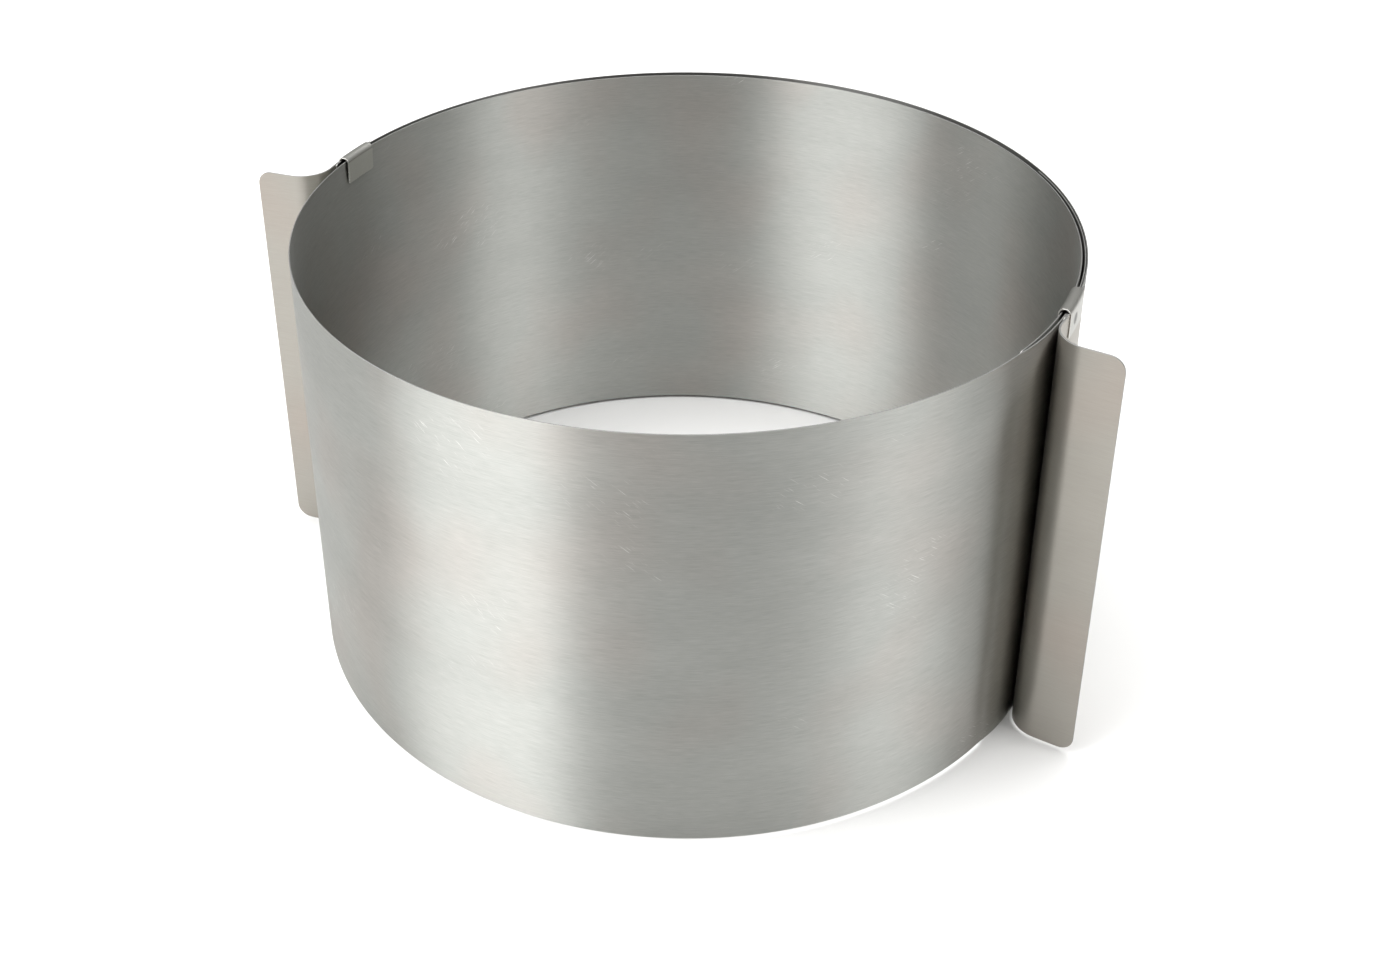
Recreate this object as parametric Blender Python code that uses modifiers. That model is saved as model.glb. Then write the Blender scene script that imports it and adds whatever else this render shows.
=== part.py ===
"""Adjustable cake ring: two springy steel bands held together by folded clips, with two bent handles.

Run it with blender --background --python part.py, or from Blender's text editor.
Units are metres and +Z is up. The ring's axis is the Z axis, Y points to the back of the ring, and the
handles stand on the left (-X) and on the right (+X). The clips' folded undersides lie on Z = 0.
"""

import math

import bmesh
import bpy

# Driving dimensions of the bands
SET_DIAMETER = 0.260          # inner diameter that the ring is set to
OPENING_LEFT = 0.040          # how much further its diameter can open, to the widest setting
BAND_HEIGHT = 0.150
BAND_SHEET = 0.0004           # thickness of the band steel
SLIP_GAP = 0.00025            # clearance between two sheets that slide on each other
END_LAP = 0.010               # lap of the inner band's ends that is left at the widest setting
INNER_END_REACH = 0.029       # from the right clip's front forward to the inner band's visible end
STEP_OUT_LENGTH = 0.050       # stretch over which the inner band steps out over its own end
OUTER_BAND_TAIL = 0.004       # from a clip's front forward to the outer band's end
OUTER_BAND_BOW = 0.002        # how far the springy outer band bows off the inner one, mid-back

# Driving dimensions of the handles
HANDLE_SHEET = 0.0006
BASE_MARGIN = 0.003           # from the clip's back end to the base leaf's end
BEND_MARGIN = 0.0065          # from the clip's front end to where the sheet starts to bend
BEND_RADIUS = 0.0105          # to the middle of the sheet
GRIP_WIDTH = 0.0135           # flat part of the grip, past the bend
GRIP_CORNER = 0.005           # rounding of the grip's free corners

# Driving dimensions of the clips
CLIP_SHEET = 0.0004
CLIP_WIDTH = 0.016            # along the rim
CLIP_DEPTH = 0.010            # height of a clip, from its fold's outside to its leaves' ends
CLIP_FOLD_RADIUS = 0.0010     # to the middle of the sheet
FLAP_LEAN = 0.0004            # how far the free inner leaf leans back to the band, from its fold to its end

# Fineness of the curves
BAND_STEP = math.radians(2.0)
BEND_STEPS = 10
FOLD_STEPS = 4
CORNER_STEPS = 6
CLIP_STEPS = 8

# Places that follow from the sizes: middles of the sheets, measured from the ring's axis
INNER_TURN_RADIUS = SET_DIAMETER / 2 + BAND_SHEET / 2
OUTER_TURN_RADIUS = INNER_TURN_RADIUS + BAND_SHEET + SLIP_GAP
OUTER_BAND_RADIUS = OUTER_TURN_RADIUS + BAND_SHEET + SLIP_GAP
HANDLE_RADIUS = OUTER_BAND_RADIUS + BAND_SHEET / 2 + SLIP_GAP + HANDLE_SHEET / 2
CLIP_OUTER_RADIUS = HANDLE_RADIUS + HANDLE_SHEET / 2 + SLIP_GAP + CLIP_SHEET / 2
CLIP_INNER_RADIUS = INNER_TURN_RADIUS - BAND_SHEET / 2 - SLIP_GAP - CLIP_SHEET / 2
FLAP_FOLD_RADIUS = CLIP_INNER_RADIUS - FLAP_LEAN
FOLD_RADIUS = min(CLIP_FOLD_RADIUS, (CLIP_OUTER_RADIUS - FLAP_FOLD_RADIUS) / 2)
BAND_BASE = CLIP_SHEET / 2 + FOLD_RADIUS
BAND_TOP = BAND_BASE + BAND_HEIGHT
TOTAL_HEIGHT = BAND_TOP + BAND_BASE

# Angles that follow from the sizes, counted from the right clip's middle, positive towards the back
INNER_END_ANGLE = -(CLIP_WIDTH / 2 + INNER_END_REACH) / INNER_TURN_RADIUS
STEP_OUT_END = INNER_END_ANGLE + 2 * math.pi
STEP_OUT_START = STEP_OUT_END - STEP_OUT_LENGTH / INNER_TURN_RADIUS
INNER_BAND_LENGTH = math.pi * (SET_DIAMETER + OPENING_LEFT) + END_LAP
HIDDEN_END_ANGLE = INNER_END_ANGLE + INNER_BAND_LENGTH / INNER_TURN_RADIUS
OUTER_BAND_TAIL_ANGLE = (CLIP_WIDTH / 2 + OUTER_BAND_TAIL) / OUTER_BAND_RADIUS
HANDLE_BACK_ANGLE = (CLIP_WIDTH / 2 + BASE_MARGIN) / HANDLE_RADIUS
RIGHT = 1
LEFT = -1


def clear_scene():
    """Removes every object of the open file."""
    for item in list(bpy.data.objects):
        bpy.data.objects.remove(item, do_unlink=True)


def make_material(name, colour, roughness):
    """A metal's Principled material."""
    material = bpy.data.materials.new(name)
    material.use_nodes = True
    shader = material.node_tree.nodes["Principled BSDF"]
    shader.inputs["Base Color"].default_value = (*colour, 1.0)
    shader.inputs["Metallic"].default_value = 1.0
    shader.inputs["Roughness"].default_value = roughness
    material.diffuse_color = (*colour, 1.0)
    return material


def add_object(name, bm, material, parent, collection):
    """Puts a finished bmesh into the scene as one named part, shaded smooth on its curves."""
    mesh = bpy.data.meshes.new(name)
    bm.to_mesh(mesh)
    bm.free()
    mesh.materials.append(material)
    part = bpy.data.objects.new(name, mesh)
    part.parent = parent
    collection.objects.link(part)
    mesh.shade_smooth()
    mesh.set_sharp_from_angle(angle=math.radians(40))
    return part


def thicken(part, thickness):
    """Gives an open sheet its thickness, half to each side."""
    solidify = part.modifiers.new("sheet_thickness", "SOLIDIFY")
    solidify.thickness = thickness
    solidify.offset = 0.0
    solidify.use_even_offset = True
    solidify.use_rim = True


def rolled_sheet(stations):
    """An upright sheet that is extruded edge by edge along its stations.

    Each station is (x, y, bottom, top), so the sheet's outline may change its height on the way.
    """
    bm = bmesh.new()
    x, y, bottom, top = stations[0]
    edge = bm.edges.new((bm.verts.new((x, y, bottom)), bm.verts.new((x, y, top))))
    for x, y, bottom, top in stations[1:]:
        extruded = bmesh.ops.extrude_edge_only(bm, edges=[edge])["geom"]
        lower, upper = sorted((v for v in extruded if isinstance(v, bmesh.types.BMVert)), key=lambda v: v.co.z)
        lower.co = (x, y, bottom)
        upper.co = (x, y, top)
        edge = bm.edges.get((lower, upper))
    bmesh.ops.recalc_face_normals(bm, faces=bm.faces)
    return bm


def on_ring(radius, angle):
    """The point of a circle about the ring's axis."""
    return radius * math.cos(angle), radius * math.sin(angle)


def steps_between(start, end):
    """Evenly spaced angles from start to end, about BAND_STEP apart."""
    count = max(1, round(abs(end - start) / BAND_STEP))
    return [start + (end - start) * i / count for i in range(count + 1)]


def inner_band_radius(angle):
    """Radius of the inner band's sheet, which steps out smoothly to pass over its own end."""
    share = (angle - STEP_OUT_START) / (STEP_OUT_END - STEP_OUT_START)
    share = min(1.0, max(0.0, share))
    eased = share * share * (3 - 2 * share)
    return INNER_TURN_RADIUS + (OUTER_TURN_RADIUS - INNER_TURN_RADIUS) * eased


def outer_band_radius(angle):
    """Radius of the outer band's sheet, which bows outwards between the ends of the handles' base leaves."""
    share = (angle - HANDLE_BACK_ANGLE) / (math.pi - 2 * HANDLE_BACK_ANGLE)
    share = min(1.0, max(0.0, share))
    return OUTER_BAND_RADIUS + OUTER_BAND_BOW * math.sin(math.pi * share) ** 2


def make_inner_band(material, parent, collection):
    """The long band, a little over one turn, whose hidden end lies between itself and the outer band."""
    angles = steps_between(INNER_END_ANGLE, STEP_OUT_START)
    angles += steps_between(STEP_OUT_START, STEP_OUT_END)[1:]
    angles += steps_between(STEP_OUT_END, HIDDEN_END_ANGLE)[1:]
    stations = [(*on_ring(inner_band_radius(a), a), BAND_BASE, BAND_TOP) for a in angles]
    part = add_object("inner_band", rolled_sheet(stations), material, parent, collection)
    thicken(part, BAND_SHEET)


def make_outer_band(material, parent, collection):
    """The short band that runs round the back of the ring from handle to handle."""
    angles = steps_between(-OUTER_BAND_TAIL_ANGLE, math.pi + OUTER_BAND_TAIL_ANGLE)
    stations = [(*on_ring(outer_band_radius(a), a), BAND_BASE, BAND_TOP) for a in angles]
    part = add_object("outer_band", rolled_sheet(stations), material, parent, collection)
    thicken(part, BAND_SHEET)


def grip_cut(distance_to_edge):
    """How much a rounded corner takes off the grip's height at a distance from its free edge."""
    if distance_to_edge >= GRIP_CORNER:
        return 0.0
    reach = GRIP_CORNER - distance_to_edge
    return GRIP_CORNER - math.sqrt(max(0.0, GRIP_CORNER**2 - reach**2))


def handle_stations():
    """The right handle's plan: base leaf along the ring, a quarter bend outwards, and the flat grip."""
    front = -(CLIP_WIDTH / 2 + BEND_MARGIN) / HANDLE_RADIUS
    base = steps_between(HANDLE_BACK_ANGLE, front)
    stations = [(*on_ring(HANDLE_RADIUS, a), BAND_BASE, BAND_TOP) for a in base]

    outward = (math.cos(front), math.sin(front))
    forward = (math.sin(front), -math.cos(front))
    start_x, start_y = stations[-1][0], stations[-1][1]
    centre_x = start_x + outward[0] * BEND_RADIUS
    centre_y = start_y + outward[1] * BEND_RADIUS
    for i in range(1, BEND_STEPS + 1):
        turn = math.pi / 2 * i / BEND_STEPS
        along, off = BEND_RADIUS * math.sin(turn), BEND_RADIUS * math.cos(turn)
        x = centre_x + forward[0] * along - outward[0] * off
        y = centre_y + forward[1] * along - outward[1] * off
        stations.append((x, y, BAND_BASE, BAND_TOP))

    flat_x, flat_y = stations[-1][0], stations[-1][1]
    corner_start = GRIP_WIDTH - GRIP_CORNER
    for i in range(CORNER_STEPS + 1):
        turn = math.pi / 2 * i / CORNER_STEPS
        reach = corner_start + GRIP_CORNER * math.sin(turn)
        cut = grip_cut(GRIP_WIDTH - reach)
        x = flat_x + outward[0] * reach
        y = flat_y + outward[1] * reach
        stations.append((x, y, BAND_BASE + cut, BAND_TOP - cut))
    return stations


def make_handle(name, side, material, parent, collection):
    """A handle: one bent sheet, mirrored for the left side."""
    stations = [(side * x, y, bottom, top) for x, y, bottom, top in handle_stations()]
    part = add_object(name, rolled_sheet(stations), material, parent, collection)
    thicken(part, HANDLE_SHEET)


def clip_profile():
    """A top clip's section as (radius, height) points: inner leaf, fold over the rims, outer leaf."""
    fold_top = TOTAL_HEIGHT - CLIP_SHEET / 2
    leaf_end = TOTAL_HEIGHT - CLIP_DEPTH
    points = [(CLIP_INNER_RADIUS, leaf_end)]
    for i in range(FOLD_STEPS + 1):
        turn = math.pi / 2 * i / FOLD_STEPS
        radius = FLAP_FOLD_RADIUS + FOLD_RADIUS * (1 - math.cos(turn))
        points.append((radius, fold_top - FOLD_RADIUS * (1 - math.sin(turn))))
    for i in range(FOLD_STEPS + 1):
        turn = math.pi / 2 * i / FOLD_STEPS
        radius = CLIP_OUTER_RADIUS - FOLD_RADIUS * (1 - math.sin(turn))
        points.append((radius, fold_top - FOLD_RADIUS * (1 - math.cos(turn))))
    points.append((CLIP_OUTER_RADIUS, leaf_end))
    return points


def make_clip(name, side, upper, material, parent, collection):
    """A clip: its section swept round the ring's axis over the clip's width."""
    half_angle = CLIP_WIDTH / 2 / CLIP_OUTER_RADIUS
    middle = 0.0 if side == RIGHT else math.pi
    bm = bmesh.new()
    verts = []
    for radius, height in clip_profile():
        z = height if upper else TOTAL_HEIGHT - height
        x, y = on_ring(radius, middle - half_angle)
        verts.append(bm.verts.new((x, y, z)))
    edges = [bm.edges.new(pair) for pair in zip(verts, verts[1:])]
    bmesh.ops.spin(bm, geom=edges, axis=(0, 0, 1), cent=(0, 0, 0), angle=2 * half_angle, steps=CLIP_STEPS)
    bmesh.ops.recalc_face_normals(bm, faces=bm.faces)
    part = add_object(name, bm, material, parent, collection)
    thicken(part, CLIP_SHEET)


def make_carrier(name, collection):
    """An empty on the ring's axis that carries one of the two bodies."""
    carrier = bpy.data.objects.new(name, None)
    carrier.empty_display_type = "PLAIN_AXES"
    collection.objects.link(carrier)
    return carrier


def main():
    clear_scene()
    collection = bpy.data.collections.new("adjustable_cake_ring")
    bpy.context.scene.collection.children.link(collection)
    fixed = make_carrier("outer_carrier", collection)
    sliding = make_carrier("inner_carrier", collection)

    band_steel = make_material("brushed_band_steel", (0.42, 0.42, 0.40), 0.34)
    outer_steel = make_material("brushed_outer_band_steel", (0.40, 0.40, 0.38), 0.36)
    handle_steel = make_material("satin_handle_steel", (0.46, 0.43, 0.40), 0.42)
    clip_steel = make_material("pressed_clip_steel", (0.50, 0.49, 0.46), 0.30)

    make_inner_band(band_steel, sliding, collection)
    make_outer_band(outer_steel, fixed, collection)
    for word, side in (("right", RIGHT), ("left", LEFT)):
        make_handle(f"{word}_handle", side, handle_steel, fixed, collection)
        make_clip(f"{word}_top_clip", side, True, clip_steel, fixed, collection)
        make_clip(f"{word}_bottom_clip", side, False, clip_steel, fixed, collection)


main()
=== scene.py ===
"""Looks of the adjustable cake ring: brushed steel bands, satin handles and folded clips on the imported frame.

Units are metres in the frame's own axes: +Z is up along the ring's axis, +X points to the right handle and +Y
to the back. Every sheet starts as a flat blank: X runs along the sheet, Y through its thickness and Z up its
height. It is cut, dimpled and deburred while it is flat, and is then bent to its place on the ring.
"""

import logging
import math
from dataclasses import dataclass, field
from enum import Enum
from typing import Sequence

import bmesh
import bpy
from mathutils import Matrix, Vector


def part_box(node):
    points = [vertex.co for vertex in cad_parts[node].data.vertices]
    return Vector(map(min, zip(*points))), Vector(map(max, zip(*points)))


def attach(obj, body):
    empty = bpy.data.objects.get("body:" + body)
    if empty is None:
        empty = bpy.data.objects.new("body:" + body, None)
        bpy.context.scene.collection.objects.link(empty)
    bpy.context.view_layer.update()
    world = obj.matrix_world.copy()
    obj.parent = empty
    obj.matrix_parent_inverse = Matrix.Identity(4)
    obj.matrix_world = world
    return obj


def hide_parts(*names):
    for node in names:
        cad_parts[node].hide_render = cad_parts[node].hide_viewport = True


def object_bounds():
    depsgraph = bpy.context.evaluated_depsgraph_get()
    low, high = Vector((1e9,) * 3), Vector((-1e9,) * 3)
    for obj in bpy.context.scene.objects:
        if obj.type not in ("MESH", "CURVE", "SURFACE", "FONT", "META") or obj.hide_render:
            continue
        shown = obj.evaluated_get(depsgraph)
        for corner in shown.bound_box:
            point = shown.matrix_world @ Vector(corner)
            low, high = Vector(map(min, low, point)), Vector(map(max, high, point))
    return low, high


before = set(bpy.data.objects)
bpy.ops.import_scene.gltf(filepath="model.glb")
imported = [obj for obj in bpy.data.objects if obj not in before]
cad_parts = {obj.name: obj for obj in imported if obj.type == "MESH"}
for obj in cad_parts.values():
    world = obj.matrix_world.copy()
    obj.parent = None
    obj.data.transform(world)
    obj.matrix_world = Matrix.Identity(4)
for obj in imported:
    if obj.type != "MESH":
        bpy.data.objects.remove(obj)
CAD_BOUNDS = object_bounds()

LOG = logging.getLogger("cake_ring")

Colour = tuple[float, float, float]
Pair = tuple[float, float]
Socket = bpy.types.NodeSocket
Value = Socket | float

# The sheets' own map and the layer of their dark weld marks and painted shade, which the finishes read
SHEET_MAP = "sheet"
MARK_AND_SHADE_LAYER = "marks"

# Where most values of a noise lie, how strong its finer layers are, and how many a crisp or a soft one has
NOISE_SPAN: Pair = (0.3, 0.7)
NOISE_ROUGHNESS = 0.6
CRISP_LAYERS = 4.0
MEDIUM_LAYERS = 2.0
SOFT_LAYERS = 1.0

# The material slot of a sheet's edge, and how far a face must look along Y to be a flat side of the blank
EDGE_SLOT = 1
FLAT_SIDE = 0.5

# How near a vertex must lie to be on a cut, and the angle past which an edge is drawn sharp
CUT_REACH = 1e-7
SHARP_ANGLE = math.radians(22)


class Side(Enum):
    """The side of the ring that a handle or a clip is on, as the sign of its X."""

    LEFT = -1
    RIGHT = 1


class Rim(Enum):
    """The rim that a clip is folded over."""

    TOP = "top"
    BOTTOM = "bottom"


def eased(share: float) -> float:
    """A smooth rise from 0 to 1."""
    share = min(1.0, max(0.0, share))
    return share * share * (3 - 2 * share)


def spread(start: float, end: float, count: int) -> list[float]:
    """Places strictly between a start and an end.

    Args:
        start: The first place, left out.
        end: The last place, left out.
        count: How many stretches there are.

    Returns:
        The places between, in order.
    """
    return [start + (end - start) * i / count for i in range(1, count)]


def shaded(colour: Colour, factor: float) -> Colour:
    """A colour made darker or lighter, with no channel past 1."""
    return tuple(min(1.0, channel * factor) for channel in colour)


@dataclass(frozen=True)
class SheetStack:
    """Radii and heights of the ring's sheets. A radius is that of a sheet's middle."""

    base: float
    top: float
    inner_turn: float
    clip_leaf: float
    back: float
    grip_tip: float
    clip_low: float
    clip_high: float
    band_sheet: float = 0.0004
    handle_sheet: float = 0.0006
    clip_sheet: float = 0.0004
    running_gap: float = 0.00005

    @classmethod
    def from_frame(cls) -> "SheetStack":
        """Reads the ring's sizes from the frame.

        Returns:
            The stack of sheets.
        """
        inner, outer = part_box("inner_band"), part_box("outer_band")
        clip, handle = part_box("right_top_clip"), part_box("right_handle")
        return cls(
            base=inner[0].z,
            top=inner[1].z,
            inner_turn=-inner[0].y - cls.band_sheet / 2,
            clip_leaf=clip[1].x - cls.clip_sheet / 2,
            back=outer[1].y - cls.band_sheet / 2,
            grip_tip=handle[1].x,
            clip_low=clip[0].z,
            clip_high=clip[1].z,
        )

    @property
    def handle_leaf(self) -> float:
        """Radius of the handles' base leaves, welded between the clips and the outer band."""
        return self.clip_leaf - self.clip_sheet / 2 - self.handle_sheet / 2

    @property
    def outer_band(self) -> float:
        """Radius of the outer band at the handles."""
        return self.handle_leaf - self.handle_sheet / 2 - self.band_sheet / 2

    @property
    def outer_turn(self) -> float:
        """Radius of the inner band's lap, which slides along the inside of the outer band."""
        return self.outer_band - self.band_sheet - self.running_gap


@dataclass
class NodeTree:
    """Short ways to add the nodes that the finishes share."""

    tree: bpy.types.NodeTree

    def shader(self) -> bpy.types.Node:
        """The shader of the surface."""
        return self.tree.nodes["Principled BSDF"]

    def add(self, kind: str, **settings: object) -> bpy.types.Node:
        """Adds a node.

        Args:
            kind: The node's type.
            settings: Values of the node's own properties.

        Returns:
            The node.
        """
        node = self.tree.nodes.new(kind)
        for name, value in settings.items():
            setattr(node, name, value)
        return node

    def join(self, output: Socket, target: Socket) -> None:
        """Links an output to an input."""
        self.tree.links.new(output, target)

    def noise(self, place: Socket, size: Sequence[float], layers: float) -> Socket:
        """Noise whose blots have a real size.

        Args:
            place: Where the point lies, in metres.
            size: The blots' size along each axis, in metres.
            layers: How many finer layers the noise has.

        Returns:
            The noise value, about 0.5 on average.
        """
        scale = self.add("ShaderNodeMapping", vector_type="POINT")
        scale.inputs["Scale"].default_value = tuple(1 / s for s in size) + (1.0,) * (3 - len(size))
        self.join(place, scale.inputs["Vector"])
        noise = self.add("ShaderNodeTexNoise", noise_dimensions="3D")
        noise.inputs["Scale"].default_value = 1.0
        noise.inputs["Detail"].default_value = layers
        noise.inputs["Roughness"].default_value = NOISE_ROUGHNESS
        self.join(scale.outputs["Vector"], noise.inputs["Vector"])
        return noise.outputs["Fac"]

    def math(self, operation: str, first: Value, second: Value) -> Socket:
        """A sum on two values.

        Args:
            operation: The math node's operation.
            first: A socket or a number.
            second: A socket or a number.

        Returns:
            The result.
        """
        node = self.add("ShaderNodeMath", operation=operation)
        for value, socket in zip((first, second), node.inputs):
            if isinstance(value, Socket):
                self.join(value, socket)
            else:
                socket.default_value = value
        return node.outputs["Value"]

    def blend_values(self, first: Value, second: Value, share: float) -> Socket:
        """Blends two values.

        Args:
            first: The value at share 0.
            second: The value at share 1.
            share: How much the second counts.

        Returns:
            The blend.
        """
        first_part = self.math("MULTIPLY", first, 1 - share)
        second_part = self.math("MULTIPLY", second, share)
        return self.math("ADD", first_part, second_part)

    def remap(self, value: Socket, span: Pair, result: Pair) -> Socket:
        """Maps a value's range to another, clamped.

        Args:
            value: The value's socket.
            span: Start and end of the value's range.
            result: What the start and the end become.

        Returns:
            The mapped value.
        """
        node = self.add("ShaderNodeMapRange", clamp=True)
        self.join(value, node.inputs["Value"])
        for name, number in zip(("From Min", "From Max", "To Min", "To Max"), (*span, *result)):
            node.inputs[name].default_value = number
        return node.outputs["Result"]

    def ramp(self, value: Socket, span: Pair, colours: Sequence[Colour]) -> Socket:
        """Colours a value.

        Args:
            value: The value's socket.
            span: Start and end of the value's range.
            colours: The colours at the start and at the end.

        Returns:
            The colour.
        """
        node = self.add("ShaderNodeValToRGB")
        for element, place, colour in zip(node.color_ramp.elements, span, colours):
            element.position = place
            element.color = (*colour, 1.0)
        self.join(value, node.inputs["Fac"])
        return node.outputs["Color"]

    def multiply(self, first: Socket, second: Socket) -> Socket:
        """Multiplies two colours.

        Args:
            first: The first colour's socket.
            second: The second colour's socket.

        Returns:
            The colour.
        """
        node = self.add("ShaderNodeVectorMath", operation="MULTIPLY")
        self.join(first, node.inputs[0])
        self.join(second, node.inputs[1])
        return node.outputs["Vector"]

    def mix_colour(self, share: Socket, under: Socket, over: Colour) -> Socket:
        """Lays one colour over another.

        Args:
            share: How much of the upper colour shows.
            under: The lower colour's socket.
            over: The upper colour.

        Returns:
            The colour.
        """
        node = self.add("ShaderNodeMix", data_type="RGBA")
        self.join(share, node.inputs["Factor"])
        self.join(under, node.inputs["A"])
        node.inputs["B"].default_value = (*over, 1.0)
        return node.outputs["Result"]


@dataclass(frozen=True, kw_only=True)
class SteelFinish:
    """A bare steel finish, built once for all the pieces that have it."""

    name: str
    colour: Colour
    roughness: float
    roughness_swing: float

    def material(self) -> bpy.types.Material:
        """Builds the finish, unless an earlier piece already has it.

        Returns:
            The node material.
        """
        if self.name in bpy.data.materials:
            return bpy.data.materials[self.name]
        material = bpy.data.materials.new(self.name)
        material.use_nodes = True
        tree = NodeTree(material.node_tree)
        tree.shader().inputs["Metallic"].default_value = 1.0
        self.dress(tree)
        return material

    def dress(self, tree: NodeTree) -> None:
        """Adds the finish's own nodes to its material."""
        raise NotImplementedError

    def roughness_span(self) -> Pair:
        """Roughness where the pattern is darkest and where it is lightest."""
        swing = self.roughness * self.roughness_swing
        return self.roughness + swing, self.roughness - swing


@dataclass(frozen=True, kw_only=True)
class BrushedFinish(SteelFinish):
    """A sheet steel finish whose grain follows the sheet's own map, measured in metres.

    A size is the length and width of a streak or a patch. A span is the part of a noise's range over which a
    pattern fades in.
    """

    anisotropy: float
    grain_turn: float = 0.25
    grain_length: float
    grain_width: float
    grain_contrast: float
    grain_depth: float
    coarse_stretch: Pair = (3.5, 5.0)
    coarse_share: float = 0.22
    smudge_size: Pair = (0.055, 0.022)
    smudge_share: float = 0.2
    roughness_swing: float = 0.07
    tint_size: Pair = (0.045, 0.060)
    tint_span: Pair = (0.46, 0.68)
    cool_tint: Colour = (0.985, 1.0, 0.985)
    warm_tint: Colour = (1.0, 0.965, 0.94)
    scratches: float = 0.0
    scratch_slant: float = math.radians(38)
    scratch_size: Pair = (0.0065, 0.00033)
    scratch_span: Pair = (0.66, 0.74)
    scratch_patch_size: Pair = (0.042, 0.030)
    scratch_patch_span: Pair = (0.605, 0.70)
    scratch_shine: float = 1.6
    scratch_depth: float = 1.5
    # How dark the weld marks and the painted shade make the colour
    mark_shade: float = 0.22

    def dress(self, tree: NodeTree) -> None:
        """Adds the brushing, the scratches, and the dark weld marks and painted shade.

        Args:
            tree: The material's nodes.
        """
        shader = tree.shader()
        shader.inputs["Anisotropic"].default_value = self.anisotropy
        shader.inputs["Anisotropic Rotation"].default_value = self.grain_turn
        place = tree.add("ShaderNodeUVMap", uv_map=SHEET_MAP).outputs["UV"]
        tangent = tree.add("ShaderNodeTangent", direction_type="UV_MAP", uv_map=SHEET_MAP)
        tree.join(tangent.outputs["Tangent"], shader.inputs["Tangent"])

        shade = self.brushing(tree, place)
        colour = self.brushed_colour(tree, place, shade)
        rough = tree.remap(shade, NOISE_SPAN, self.roughness_span())
        height = shade
        if self.scratches:
            marks = self.scratch_marks(tree, place)
            colour = tree.mix_colour(marks, colour, shaded(self.colour, self.scratch_shine))
            height = tree.math("SUBTRACT", shade, tree.math("MULTIPLY", marks, self.scratch_depth))
        # The marks layer carries the burnt spot welds and also the painted shade in the bands' lap and on the
        # clips
        marks_and_shade = tree.add("ShaderNodeAttribute", attribute_name=MARK_AND_SHADE_LAYER).outputs["Fac"]
        colour = tree.mix_colour(marks_and_shade, colour, shaded(self.colour, self.mark_shade))
        tree.join(colour, shader.inputs["Base Color"])
        tree.join(rough, shader.inputs["Roughness"])
        bump = tree.add("ShaderNodeBump")
        bump.inputs["Strength"].default_value = 1.0
        bump.inputs["Distance"].default_value = self.grain_depth
        tree.join(height, bump.inputs["Height"])
        tree.join(bump.outputs["Normal"], shader.inputs["Normal"])

    def brushing(self, tree: NodeTree, place: Socket) -> Socket:
        """The brushing itself: fine and coarse streaks, and smudges from handling.

        Args:
            tree: The material's nodes.
            place: Where on the sheet a point lies.

        Returns:
            How light the steel is there, about 0.5 on average.
        """
        longer, wider = self.coarse_stretch
        grain = tree.noise(place, (self.grain_length, self.grain_width), layers=CRISP_LAYERS)
        coarse_size = (self.grain_length * longer, self.grain_width * wider)
        coarse = tree.noise(place, coarse_size, layers=MEDIUM_LAYERS)
        smudge = tree.noise(place, self.smudge_size, layers=MEDIUM_LAYERS)
        shade = tree.blend_values(grain, coarse, self.coarse_share)
        return tree.blend_values(shade, smudge, self.smudge_share)

    def brushed_colour(self, tree: NodeTree, place: Socket, shade: Socket) -> Socket:
        """Colours the brushing, with faintly cooler and warmer patches.

        Args:
            tree: The material's nodes.
            place: Where on the sheet a point lies.
            shade: How light the steel is there.

        Returns:
            The colour.
        """
        dark = shaded(self.colour, 1 - self.grain_contrast)
        bright = shaded(self.colour, 1 + self.grain_contrast)
        colour = tree.ramp(shade, NOISE_SPAN, (dark, bright))
        tint = tree.noise(place, self.tint_size, layers=SOFT_LAYERS)
        tint = tree.ramp(tint, self.tint_span, (self.cool_tint, self.warm_tint))
        return tree.multiply(colour, tint)

    def scratch_marks(self, tree: NodeTree, place: Socket) -> Socket:
        """Short slanting scratches that come in a few loose patches.

        Args:
            tree: The material's nodes.
            place: Where on the sheet a point lies.

        Returns:
            A value that is highest in a scratch and 0 elsewhere.
        """
        slanted = tree.add("ShaderNodeMapping", vector_type="POINT")
        slanted.inputs["Rotation"].default_value = (0, 0, self.scratch_slant)
        tree.join(place, slanted.inputs["Vector"])
        streaks = tree.noise(slanted.outputs["Vector"], self.scratch_size, layers=SOFT_LAYERS)
        patches = tree.noise(place, self.scratch_patch_size, layers=SOFT_LAYERS)
        streaks = tree.remap(streaks, self.scratch_span, (0.0, 1.0))
        patches = tree.remap(patches, self.scratch_patch_span, (0.0, self.scratches))
        return tree.math("MULTIPLY", streaks, patches)


@dataclass(frozen=True, kw_only=True)
class CutEdgeFinish(SteelFinish):
    """The bare look of a sheared and deburred sheet edge, faintly uneven along its length."""

    roughness_swing: float = 0.15
    blot_size: float = 0.004
    dark_share: float = 0.88

    def dress(self, tree: NodeTree) -> None:
        """Adds the unevenness.

        Args:
            tree: The material's nodes.
        """
        shader = tree.shader()
        place = tree.add("ShaderNodeTexCoord").outputs["Object"]
        uneven = tree.noise(place, (self.blot_size,) * 3, layers=MEDIUM_LAYERS)
        colour = tree.ramp(uneven, NOISE_SPAN, (shaded(self.colour, self.dark_share), self.colour))
        tree.join(colour, shader.inputs["Base Color"])
        rough = tree.remap(uneven, NOISE_SPAN, self.roughness_span())
        tree.join(rough, shader.inputs["Roughness"])


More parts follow.
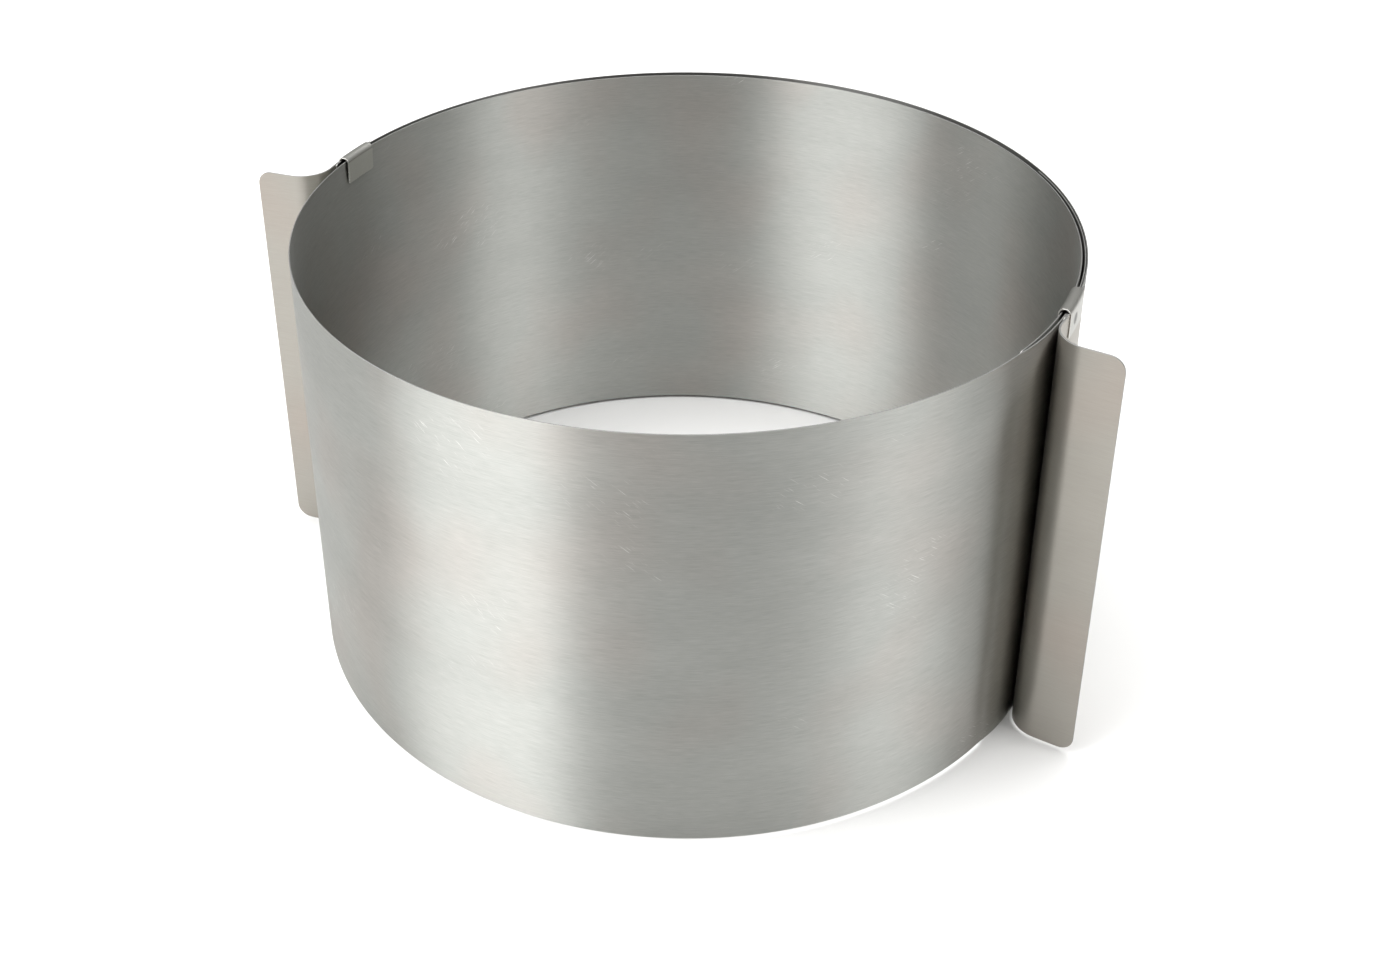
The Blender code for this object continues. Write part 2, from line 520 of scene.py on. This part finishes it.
@dataclass(frozen=True)
class SpotWeld:
    """A shallow round electrode mark on one face of a sheet.

    Its bowl has a low lip round it, and its middle is burnt. Heat can darken the sheet further out. The lip's
    height is a share of the depth, and its place and width, like both reaches, are shares of the radius.
    """

    run: float
    height: float
    radius: float = 0.0023
    depth: float = 0.0002
    bowl_power: float = 1.5
    lip_height_share: float = 0.22
    lip_place_share: float = 1.12
    lip_width_share: float = 0.16
    reach_share: float = 1.5
    burn: float = 0.5
    burn_gain: float = 1.6
    heat: float = 0.0
    heat_radius: float = 0.0085
    heat_core_share: float = 0.2
    level_reach_share: float = 1.4
    level_steps: int = 14

    def levels(self) -> list[float]:
        """Close heights across the mark, where its sheet needs an edge."""
        reach = self.radius * self.level_reach_share
        return [self.height + reach * (2 * i / self.level_steps - 1) for i in range(self.level_steps + 1)]

    def dent_at(self, run: float, height: float) -> tuple[float, float]:
        """How the mark changes the face at a point.

        Args:
            run: The point's place along the sheet.
            height: The point's place up the sheet.

        Returns:
            How deep the face lies there, and how dark it is from 0 to 1.
        """
        away = math.hypot(run - self.run, height - self.height)
        share = away / self.radius
        heat = self.heat * (1 - eased(away / self.heat_radius - self.heat_core_share))
        if share >= self.reach_share:
            return 0.0, heat
        bowl = max(0.0, 1 - share**2) ** self.bowl_power
        off_lip = (share - self.lip_place_share) / self.lip_width_share
        lip = self.lip_height_share * math.exp(-(off_lip**2))
        burn = self.burn * min(1.0, self.burn_gain * max(0.0, 1 - share**3))
        return self.depth * (bowl - lip), max(heat, burn)


@dataclass(kw_only=True)
class SheetPiece:
    """A piece of bent sheet metal, made from a flat blank."""

    name: str
    node: str
    body: str
    slot: str
    finish: BrushedFinish
    edge: CutEdgeFinish
    stack: SheetStack
    corner: float = 0.0015
    corner_steps: int = 8
    deburr: float = 0.00008
    deburr_steps: int = 2

    def outline(self) -> tuple[float, float, float, float]:
        """The blank's start and end along the sheet, then its lowest and highest edge."""
        raise NotImplementedError

    def thickness(self) -> float:
        """The sheet's thickness."""
        raise NotImplementedError

    def rounded_runs(self) -> tuple[float, ...]:
        """The ends of the blank whose corners are rounded."""
        raise NotImplementedError

    def stations(self) -> list[float]:
        """Places along the blank where the sheet needs an edge, to bend there."""
        raise NotImplementedError

    def levels(self) -> list[float]:
        """Heights on the blank where the sheet needs an edge."""
        return []

    def welds(self) -> list[SpotWeld]:
        """The spot welds on the blank's outer face."""
        return []

    def painted_shade(self, point: Vector) -> float:
        """How dark a point of the blank's faces is painted as shade, from 0 to 1."""
        return 0.0

    def bend(self, point: Vector) -> Vector:
        """Where a point of the flat blank goes.

        Args:
            point: The point on the blank.

        Returns:
            Its place on the ring.
        """
        raise NotImplementedError

    def blank(self) -> bmesh.types.BMesh:
        """Cuts the flat blank, with its rounded corners, thickness and deburred edges.

        Returns:
            The blank, standing in the XZ plane with its middle on Y = 0.
        """
        start, end, low, high = self.outline()
        bm = bmesh.new()
        # A square of side 1, which is then brought to size and stood up
        bmesh.ops.create_grid(bm, x_segments=1, y_segments=1, size=0.5)
        upright = Matrix.Rotation(math.pi / 2, 4, "X") @ Matrix.Diagonal((end - start, high - low, 1, 1))
        middle = Matrix.Translation(((start + end) / 2, self.thickness() / 2, (low + high) / 2))
        bmesh.ops.transform(bm, matrix=middle @ upright, verts=bm.verts)
        rounded = self.rounded_runs()
        corners = [v for v in bm.verts if any(abs(v.co.x - run) < self.deburr for run in rounded)]
        bmesh.ops.bevel(
            bm, geom=corners, offset=self.corner, segments=self.corner_steps, profile=0.5,
            affect="VERTICES", material=-1,
        )
        bmesh.ops.recalc_face_normals(bm, faces=bm.faces)
        extruded = bmesh.ops.extrude_face_region(bm, geom=bm.faces[:])["geom"]
        moved = [v for v in extruded if isinstance(v, bmesh.types.BMVert)]
        bmesh.ops.translate(bm, verts=moved, vec=(0, -self.thickness(), 0))
        bmesh.ops.recalc_face_normals(bm, faces=bm.faces)
        self.mark_edges(bm)
        long_edges = [e for e in bm.edges if abs(e.verts[0].co.y - e.verts[1].co.y) < self.deburr]
        bmesh.ops.bevel(
            bm, geom=long_edges, offset=self.deburr, segments=self.deburr_steps, profile=0.5,
            affect="EDGES", material=EDGE_SLOT,
        )
        self.cut(bm)
        return bm

    def mark_edges(self, bm: bmesh.types.BMesh) -> None:
        """Gives the sheared edge its own finish."""
        for face in bm.faces:
            face.material_index = 0 if abs(face.normal.y) > FLAT_SIDE else EDGE_SLOT

    def cut(self, bm: bmesh.types.BMesh) -> None:
        """Cuts edges into the blank where it will bend or is dented.

        Args:
            bm: The blank.
        """
        cuts = [((run, 0, 0), (1, 0, 0)) for run in self.stations()]
        cuts += [((0, 0, level), (0, 0, 1)) for level in self.levels()]
        for place, normal in cuts:
            geom = bm.verts[:] + bm.edges[:] + bm.faces[:]
            bmesh.ops.bisect_plane(bm, geom=geom, dist=CUT_REACH, plane_co=place, plane_no=normal)

    def mark(self, bm: bmesh.types.BMesh) -> None:
        """Presses the spot welds into the blank's outer face, and darkens them and the faces with painted
        shade.

        Args:
            bm: The blank.
        """
        layer = bm.verts.layers.float.new(MARK_AND_SHADE_LAYER)
        welds = self.welds()
        outer = self.thickness() / 2 - self.deburr / 2
        for vert in bm.verts:
            # Painted shade: the faces that the piece gives painted shade are darkened here through the marks
            # layer
            vert[layer] = self.painted_shade(vert.co) if abs(vert.co.y) > outer else 0.0
            for weld in welds:
                depth, dark = weld.dent_at(vert.co.x, vert.co.z)
                if vert.co.y > outer:
                    vert.co.y -= depth
                    vert[layer] = max(vert[layer], dark)

    def lay_map(self, bm: bmesh.types.BMesh) -> None:
        """Lays the sheet's own map, in metres, while the blank is flat.

        Args:
            bm: The blank.
        """
        layer = bm.loops.layers.uv.new(SHEET_MAP)
        for face in bm.faces:
            for loop in face.loops:
                x, y, z = loop.vert.co
                loop[layer].uv = (x + y, z + y)

    def build(self) -> bpy.types.Object:
        """Makes the finished piece and puts it on its body in place of its CAD node.

        Returns:
            The piece.
        """
        bm = self.blank()
        self.mark(bm)
        self.lay_map(bm)
        for vert in bm.verts:
            vert.co = self.bend(vert.co.copy())
        bmesh.ops.recalc_face_normals(bm, faces=bm.faces)
        mesh = bpy.data.meshes.new(self.name)
        bm.to_mesh(mesh)
        bm.free()
        mesh.materials.append(self.finish.material())
        mesh.materials.append(self.edge.material())
        mesh.shade_smooth()
        mesh.set_sharp_from_angle(angle=SHARP_ANGLE)
        piece = bpy.data.objects.new(self.name, mesh)
        bpy.context.scene.collection.objects.link(piece)
        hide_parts(self.node)
        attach(piece, self.body)
        LOG.info("%s: %d faces on %s", self.name, len(mesh.polygons), self.body)
        return piece


@dataclass(kw_only=True)
class Band(SheetPiece):
    """A band that is rolled about the ring's axis.

    On its blank, X is the angle times the inner turn's radius. Its painted shade amount says how dark the faces
    are painted where another band lies on them, as painted shade in the gap between the bands.
    """

    angle_step: float = math.radians(0.75)
    # How dark the painted shade in the gap between the bands is
    painted_shade_amount: float = 0.8

    def thickness(self) -> float:
        """The band steel's thickness."""
        return self.stack.band_sheet

    def angles(self) -> tuple[float, float]:
        """The angles where the band starts and ends."""
        raise NotImplementedError

    def radius(self, angle: float) -> float:
        """Radius of the band's middle at an angle."""
        raise NotImplementedError

    def outline(self) -> tuple[float, float, float, float]:
        """The blank of the whole band.

        Returns:
            Its start and end along the sheet, then its lowest and highest edge.
        """
        start, end = self.angles()
        reference = self.stack.inner_turn
        return start * reference, end * reference, self.stack.base, self.stack.top

    def rounded_runs(self) -> tuple[float, ...]:
        """Both ends have slightly rounded corners."""
        return self.outline()[:2]

    def stations(self) -> list[float]:
        """Even places along the band.

        Returns:
            The places, in order.
        """
        start, end, _, _ = self.outline()
        count = round((end - start) / (self.angle_step * self.stack.inner_turn))
        return spread(start, end, count)

    def bend(self, point: Vector) -> Vector:
        """Rolls a point of the blank onto the ring.

        Args:
            point: The point on the blank.

        Returns:
            Its place on the ring.
        """
        angle = point.x / self.stack.inner_turn
        radius = self.radius(angle) + point.y
        return Vector((radius * math.cos(angle), radius * math.sin(angle), point.z))


@dataclass(kw_only=True)
class InnerBand(Band):
    """The long band, whose front end lies free inside the ring and whose back end is hidden in the lap.

    Before the end of its first turn it steps out over its own front end, and from there the lap springs open
    until the clips squeeze it.
    """

    visible_end: float = math.radians(-16.28)
    hidden_end: float = math.radians(402.86)
    step_out: float = math.radians(22.0)
    spring_back: float = math.radians(11.0)
    spring_power: int = 3
    clip_edge: float = math.radians(3.45)
    squeeze: float = 0.00015

    def angles(self) -> tuple[float, float]:
        """From the visible end inside the ring, round to the hidden end."""
        return self.visible_end, self.hidden_end

    def over_end(self) -> float:
        """The angle where the band passes over its own visible end."""
        return self.visible_end + math.tau

    def painted_shade(self, point: Vector) -> float:
        """Painted shade: the inside of the lap is painted dark, as the shade in the narrow gap between the
        turns.
        """
        in_lap = point.x / self.stack.inner_turn > self.over_end()
        return self.painted_shade_amount if point.y < 0 and in_lap else 0.0

    def radius(self, angle: float) -> float:
        """The band's radius, from its inner turn to its lap.

        Args:
            angle: The angle from +X, counted on past a full turn.

        Returns:
            The radius of the band's middle.
        """
        lap = self.stack.inner_turn + self.stack.band_sheet + self.stack.running_gap
        past_end = angle - self.over_end()
        rise = (lap - self.stack.inner_turn) * eased((past_end + self.step_out) / self.step_out)
        sprung = min(1.0, max(0.0, past_end / self.spring_back))
        opening = (self.stack.outer_turn - lap) * (1 - (1 - sprung) ** self.spring_power)
        squeezed = self.squeeze * eased((angle - math.tau + self.clip_edge) / (2 * self.clip_edge))
        return self.stack.inner_turn + rise + opening - squeezed


@dataclass(kw_only=True)
class OuterBand(Band):
    """The short band round the back, which bows off the inner band between the handles.

    The bow's lean moves its widest place to the left of the back's middle.
    """

    tail: float = math.radians(5.23)
    bow_start: float = math.radians(4.77)
    bow_lean: float = 0.08

    def angles(self) -> tuple[float, float]:
        """From just in front of the right clip to just in front of the left one."""
        return -self.tail, math.pi + self.tail

    def painted_shade(self, point: Vector) -> float:
        """Painted shade: the inside, which shows only through the gap at the lap, is painted dark as the shade
        between the bands.
        """
        return self.painted_shade_amount if point.y < 0 else 0.0

    def radius(self, angle: float) -> float:
        """The band's radius, which is widest near the back.

        Args:
            angle: The angle from +X.

        Returns:
            The radius of the band's middle.
        """
        bow = self.stack.back - self.stack.outer_band
        share = min(1.0, max(0.0, (angle - self.bow_start) / (math.pi - 2 * self.bow_start)))
        share -= self.bow_lean * math.sin(math.pi * share)
        return self.stack.outer_band + bow * math.sin(math.pi * share) ** 2


@dataclass(kw_only=True)
class Handle(SheetPiece):
    """A handle: base leaf along the ring, quarter bend outwards and a flat grip with rounded corners.

    Its sizes are those of the right handle, and the left one mirrors it.
    """

    side: Side
    back_angle: float = math.radians(4.77)
    front_angle: float = math.radians(-6.27)
    bend_radius: float = 0.0105
    corner: float = 0.0050
    leaf_steps: int = 22
    bend_steps: int = 18
    weld_inset: float = 0.0055
    weld_height_shares: tuple[float, ...] = (0.25, 0.5, 0.75)

    def thickness(self) -> float:
        """The handle steel's thickness."""
        return self.stack.handle_sheet

    def leaf_length(self) -> float:
        """Length of the base leaf along the ring."""
        return (self.back_angle - self.front_angle) * self.stack.handle_leaf

    def bend_length(self) -> float:
        """Length of the quarter bend."""
        return self.bend_radius * math.pi / 2

    def directions(self) -> tuple[Vector, Vector]:
        """Two directions where the leaf ends and the bend starts.

        Returns:
            The direction out of the ring and the one along it to the front.
        """
        outward = Vector((math.cos(self.front_angle), math.sin(self.front_angle), 0))
        forward = Vector((math.sin(self.front_angle), -math.cos(self.front_angle), 0))
        return outward, forward

    def grip_start(self) -> Vector:
        """Where the flat grip starts.

        Returns:
            The place, seen from above.
        """
        outward, forward = self.directions()
        foot = outward * self.stack.handle_leaf
        return foot + (outward + forward) * self.bend_radius

    def grip_width(self) -> float:
        """Width of the flat grip, which ends where the frame's handle ends."""
        outward, _ = self.directions()
        return (self.stack.grip_tip - self.grip_start().x) / outward.x

    def outline(self) -> tuple[float, float, float, float]:
        """The blank of the whole handle, from the base leaf's back end to the grip's free edge."""
        length = self.leaf_length() + self.bend_length() + self.grip_width()
        return 0.0, length, self.stack.base, self.stack.top

    def rounded_runs(self) -> tuple[float, ...]:
        """Only the grip's free edge has rounded corners."""
        return (self.outline()[1],)

    def stations(self) -> list[float]:
        """Places along the base leaf and through the bend.

        Returns:
            The places, in order.
        """
        leaf, bend = self.leaf_length(), self.bend_length()
        along_leaf = spread(0.0, leaf, self.leaf_steps)
        round_bend = spread(leaf, leaf + bend, self.bend_steps)
        return along_leaf + [leaf] + round_bend + [leaf + bend]

    def levels(self) -> list[float]:
        """Heights across each spot weld."""
        return [level for weld in self.welds() for level in weld.levels()]

    def welds(self) -> list[SpotWeld]:
        """Even marks down the base leaf, between the two clips."""
        base, height = self.stack.base, self.stack.top - self.stack.base
        return [SpotWeld(self.weld_inset, base + height * share) for share in self.weld_height_shares]

    def bend(self, point: Vector) -> Vector:
        """Bends a point of the blank to the handle's plan.

        Args:
            point: The point on the blank.

        Returns:
            Its place on the ring.
        """
        leaf, bend = self.leaf_length(), self.bend_length()
        outward, forward = self.directions()
        if point.x <= leaf:
            angle = self.back_angle - point.x / self.stack.handle_leaf
            radius = self.stack.handle_leaf + point.y
            place = Vector((radius * math.cos(angle), radius * math.sin(angle), 0))
        elif point.x <= leaf + bend:
            turn = (point.x - leaf) / self.bend_radius
            centre = outward * (self.stack.handle_leaf + self.bend_radius)
            reach = self.bend_radius - point.y
            place = centre + forward * reach * math.sin(turn) - outward * reach * math.cos(turn)
        else:
            place = self.grip_start() + outward * (point.x - leaf - bend) - forward * point.y
        return Vector((self.side.value * place.x, place.y, point.z))


@dataclass(kw_only=True)
class Clip(SheetPiece):
    """A clip folded over a rim.

    On its blank, X runs along the rim and Z from the inner leaf to the outer one. Its heights are those of a
    top clip, and a bottom one mirrors it. Its painted shade amount says how dark the fold and outer leaf are
    painted, as shade.
    """

    side: Side
    rim: Rim
    width: float = 0.0160
    fold_radius: float = 0.0017
    lean: float = 0.0004
    flap_gap: float = 0.0002
    corner: float = 0.0009
    run_step: float = 0.0004
    fold_steps: int = 8
    # How dark the painted shade on the fold and the outer leaf is
    painted_shade_amount: float = 0.5
    weld_off: float = -0.0022
    weld_to_end: float = 0.0046
    weld_radius: float = 0.0024
    weld_depth: float = 0.00028
    weld_heat: float = 0.42

    def thickness(self) -> float:
        """The clip steel's thickness."""
        return self.stack.clip_sheet

    def flap_end(self) -> float:
        """Radius of the inner leaf's free end."""
        return self.stack.inner_turn - self.stack.band_sheet / 2 - self.flap_gap - self.stack.clip_sheet / 2

    def flap_fold(self) -> float:
        """Radius of the inner leaf where the fold starts."""
        return self.flap_end() - self.lean

    def heights(self) -> tuple[float, float, float]:
        """Heights of the leaves' ends, of the fold's start and of the fold's highest middle."""
        top = self.stack.clip_high - self.stack.clip_sheet / 2
        return self.stack.clip_low, top - self.fold_radius, top

    def lengths(self) -> list[float]:
        """Lengths along the clip's section.

        Returns:
            Those of the inner leaf, the first curve, the flat top, the second curve and the outer leaf.
        """
        leaf_end, fold_start, _ = self.heights()
        leaf = fold_start - leaf_end
        curve = self.fold_radius * math.pi / 2
        flat = self.stack.clip_leaf - self.flap_fold() - 2 * self.fold_radius
        return [math.hypot(leaf, self.lean), curve, flat, curve, leaf]

    def outline(self) -> tuple[float, float, float, float]:
        """The blank of the whole clip."""
        return -self.width / 2, self.width / 2, 0.0, sum(self.lengths())

    def rounded_runs(self) -> tuple[float, ...]:
        """All four corners are rounded."""
        return (-self.width / 2, self.width / 2)

    def stations(self) -> list[float]:
        """Even places along the rim."""
        return spread(-self.width / 2, self.width / 2, round(self.width / self.run_step))

    def levels(self) -> list[float]:
        """Close places through both curves, and even ones on the outer leaf for the spot weld.

        Returns:
            The places along the section, in order.
        """
        leaf, curve, flat, _, outer = self.lengths()
        first, second, end = leaf, leaf + curve + flat, leaf + 2 * curve + flat
        places = [first] + spread(first, first + curve, self.fold_steps) + [first + curve]
        places += [second] + spread(second, end, self.fold_steps) + [end]
        return places + spread(end, end + outer, round(outer / self.run_step))

    def welds(self) -> list[SpotWeld]:
        """One burnt mark on the outer leaf, a little off its middle.

        Returns:
            The mark alone.
        """
        height = self.outline()[3] - self.weld_to_end
        weld = SpotWeld(
            self.weld_off, height, radius=self.weld_radius, depth=self.weld_depth,
            burn=1.0, heat=self.weld_heat,
        )
        return [weld]

    def painted_shade(self, point: Vector) -> float:
        """Painted shade: the fold and the outer leaf are painted darker than the inner leaf."""
        return self.painted_shade_amount if point.z > self.lengths()[0] else 0.0

    def section(self, run: float, off: float) -> tuple[float, float]:
        """A place in the clip's section.

        Args:
            run: Distance along the section from the inner leaf's end.
            off: Distance outwards from the sheet's middle.

        Returns:
            The radius and the height of the place, on a top clip.
        """
        leaf, curve, flat, _, _ = self.lengths()
        leaf_end, fold_start, top = self.heights()
        reach = self.fold_radius + off
        if run <= leaf:
            share = run / leaf
            radius = self.flap_end() - self.lean * share - off
            return radius, leaf_end + (fold_start - leaf_end) * share
        if run <= leaf + curve:
            turn = (run - leaf) / self.fold_radius
            radius = self.flap_fold() + self.fold_radius - reach * math.cos(turn)
            return radius, fold_start + reach * math.sin(turn)
        if run <= leaf + curve + flat:
            return self.flap_fold() + self.fold_radius + run - leaf - curve, top + off
        if run <= leaf + 2 * curve + flat:
            turn = (run - leaf - curve - flat) / self.fold_radius
            radius = self.stack.clip_leaf - self.fold_radius + reach * math.sin(turn)
            return radius, fold_start + reach * math.cos(turn)
        return self.stack.clip_leaf + off, fold_start - (run - leaf - 2 * curve - flat)

    def bend(self, point: Vector) -> Vector:
        """Folds a point of the blank over the rim and sets it on the ring.

        Args:
            point: The point on the blank.

        Returns:
            Its place on the ring.
        """
        radius, height = self.section(point.z, point.y)
        angle = point.x / self.stack.clip_leaf
        if self.rim is Rim.BOTTOM:
            height = self.stack.base + self.stack.top - height
        return Vector((self.side.value * radius * math.cos(angle), radius * math.sin(angle), height))


@dataclass(frozen=True)
class Softbox:
    """A rectangular studio light.

    Its bearing is counted in degrees from the camera's side, positive to the picture's right. Its size is its
    width and height.
    """

    name: str
    bearing: float
    elevation: float
    distance: float
    size: Pair
    radiance: float

    def build(self, camera_azimuth: float, target: Vector) -> bpy.types.Object:
        """Sets the light up.

        Args:
            camera_azimuth: The camera's direction from the ring's axis.
            target: The point that the light faces.

        Returns:
            The light's object.
        """
        azimuth = camera_azimuth + math.radians(self.bearing)
        rise = math.radians(self.elevation)
        level = math.cos(rise)
        away = Vector((math.cos(azimuth) * level, math.sin(azimuth) * level, math.sin(rise)))
        width, height = self.size
        light = bpy.data.lights.new(self.name, "AREA")
        light.shape = "RECTANGLE"
        light.size, light.size_y = self.size
        light.energy = self.radiance * math.pi * width * height
        lamp = bpy.data.objects.new(self.name, light)
        lamp.location = target + away * self.distance
        lamp.rotation_mode = "QUATERNION"
        lamp.rotation_quaternion = away.to_track_quat("Z", "Y")
        bpy.context.scene.collection.objects.link(lamp)
        return lamp


@dataclass
class Studio:
    """The plain pale floor, the soft light and the camera at the photograph's viewing angle."""

    camera_place: Vector = field(default_factory=lambda: Vector((0.2240, -0.4871, 0.4176)))
    heading: float = math.radians(27.2)
    pitch: float = math.radians(28.95)
    roll: float = math.radians(-0.98)
    lens: float = 45.9
    shift: Pair = (0.0617, -0.1286)
    nearest: float = 0.01
    floor_size: float = 12.0
    floor_colour: Colour = (0.84, 0.84, 0.835)
    floor_roughness: float = 0.9
    floor_shine: float = 0.1
    surroundings_colour: Colour = (1.0, 0.99, 0.97)
    surroundings_strength: float = 0.4
    softboxes: tuple[Softbox, ...] = (
        Softbox("key_softbox", bearing=-66, elevation=46, distance=1.5, size=(0.92, 0.9), radiance=6.2),
        Softbox("front_softbox", bearing=-36, elevation=18, distance=1.5, size=(0.32, 0.9), radiance=2.3),
        Softbox("fill_softbox", bearing=66, elevation=46, distance=1.5, size=(0.62, 0.9), radiance=3.8),
        Softbox("left_back_softbox", bearing=-130, elevation=50, distance=1.6, size=(0.6, 0.8), radiance=3.7),
        Softbox("right_back_softbox", bearing=112, elevation=50, distance=1.6, size=(0.6, 0.8), radiance=1.4),
        Softbox("overhead_softbox", bearing=180, elevation=80, distance=1.7, size=(1.6, 1.6), radiance=3.8),
    )

    def build_floor(self) -> None:
        """Lays a large pale floor under the ring."""
        bm = bmesh.new()
        bmesh.ops.create_grid(bm, x_segments=2, y_segments=2, size=self.floor_size / 2)
        mesh = bpy.data.meshes.new("pale_floor")
        bm.to_mesh(mesh)
        bm.free()
        material = bpy.data.materials.new("pale_floor")
        material.use_nodes = True
        shader = NodeTree(material.node_tree).shader()
        shader.inputs["Base Color"].default_value = (*self.floor_colour, 1.0)
        shader.inputs["Roughness"].default_value = self.floor_roughness
        shader.inputs["Specular IOR Level"].default_value = self.floor_shine
        mesh.materials.append(material)
        floor = bpy.data.objects.new("pale_floor", mesh)
        bpy.context.scene.collection.objects.link(floor)

    def build_world(self) -> None:
        """Gives the studio its even, dim surroundings."""
        world = bpy.data.worlds.new("studio")
        world.use_nodes = True
        background = world.node_tree.nodes["Background"]
        background.inputs["Color"].default_value = (*self.surroundings_colour, 1.0)
        background.inputs["Strength"].default_value = self.surroundings_strength
        bpy.context.scene.world = world
        bpy.context.scene.view_settings.view_transform = "Standard"

    def build_camera(self) -> None:
        """Sets the camera where the photograph was taken from."""
        data = bpy.data.cameras.new("photo_camera")
        data.lens = self.lens
        data.shift_x, data.shift_y = self.shift
        data.clip_start = self.nearest
        camera = bpy.data.objects.new("photo_camera", data)
        turned = (
            Matrix.Rotation(self.heading, 4, "Z")
            @ Matrix.Rotation(math.pi / 2 - self.pitch, 4, "X")
            @ Matrix.Rotation(self.roll, 4, "Z")
        )
        camera.matrix_world = Matrix.Translation(self.camera_place) @ turned
        bpy.context.scene.collection.objects.link(camera)
        bpy.context.scene.camera = camera

    def build(self) -> None:
        """Builds the floor, the surroundings, the camera and the lights."""
        self.build_floor()
        self.build_world()
        self.build_camera()
        azimuth = math.atan2(self.camera_place.y, self.camera_place.x)
        target = (CAD_BOUNDS[0] + CAD_BOUNDS[1]) / 2
        for softbox in self.softboxes:
            softbox.build(azimuth, target)
            LOG.info("%s set up", softbox.name)


BAND_FINISH = BrushedFinish(
    name="brushed_band_steel", colour=(0.50, 0.50, 0.484), roughness=0.53, anisotropy=1.0,
    grain_length=0.0055, grain_width=0.00022, grain_contrast=0.14, grain_depth=0.0000008, scratches=1.0,
)
OUTER_BAND_FINISH = BrushedFinish(
    name="brushed_outer_band_steel", colour=(0.49, 0.49, 0.474), roughness=0.53, anisotropy=1.0,
    grain_length=0.0060, grain_width=0.00024, grain_contrast=0.14, grain_depth=0.0000008, scratches=0.6,
)
HANDLE_FINISH = BrushedFinish(
    name="satin_handle_steel", colour=(0.368, 0.345, 0.318), roughness=0.45, anisotropy=0.45,
    grain_length=0.008, grain_width=0.0003, grain_contrast=0.05, grain_depth=0.0000005,
)
CLIP_FINISH = BrushedFinish(
    name="pressed_clip_steel", colour=(0.66, 0.65, 0.62), roughness=0.38, anisotropy=0.3,
    grain_length=0.004, grain_width=0.0002, grain_contrast=0.07, grain_depth=0.0000006,
)
EDGE_FINISH = CutEdgeFinish(name="sheared_edge_steel", colour=(0.34, 0.34, 0.33), roughness=0.42)
CLIP_EDGE_FINISH = CutEdgeFinish(name="sheared_clip_edge_steel", colour=(0.85, 0.84, 0.81), roughness=0.30)


def build_ring() -> list[bpy.types.Object]:
    """Builds every piece of the ring.

    Returns:
        The pieces.
    """
    stack = SheetStack.from_frame()
    pieces: list[SheetPiece] = [
        InnerBand(
            name="inner_band_sheet", node="inner_band", body="inner_band", slot="inner_band_steel",
            finish=BAND_FINISH, edge=EDGE_FINISH, stack=stack,
        ),
        OuterBand(
            name="outer_band_sheet", node="outer_band", body="outer_ring", slot="outer_band_steel",
            finish=OUTER_BAND_FINISH, edge=EDGE_FINISH, stack=stack,
        ),
    ]
    for side in Side:
        word = side.name.lower()
        handle = Handle(
            name=f"{word}_handle_sheet", node=f"{word}_handle", body="outer_ring", slot="handle_steel",
            finish=HANDLE_FINISH, edge=EDGE_FINISH, stack=stack, side=side,
        )
        pieces.append(handle)
        for rim in Rim:
            node = f"{word}_{rim.value}_clip"
            clip = Clip(
                name=f"{node}_strip", node=node, body="outer_ring", slot="clip_steel",
                finish=CLIP_FINISH, edge=CLIP_EDGE_FINISH, stack=stack, side=side, rim=rim,
            )
            pieces.append(clip)
    return [piece.build() for piece in pieces]


def main() -> None:
    """Builds the ring and its studio."""
    logging.basicConfig(level=logging.INFO, format="%(message)s")
    build_ring()
    Studio().build()


if __name__ == "__main__":
    main()
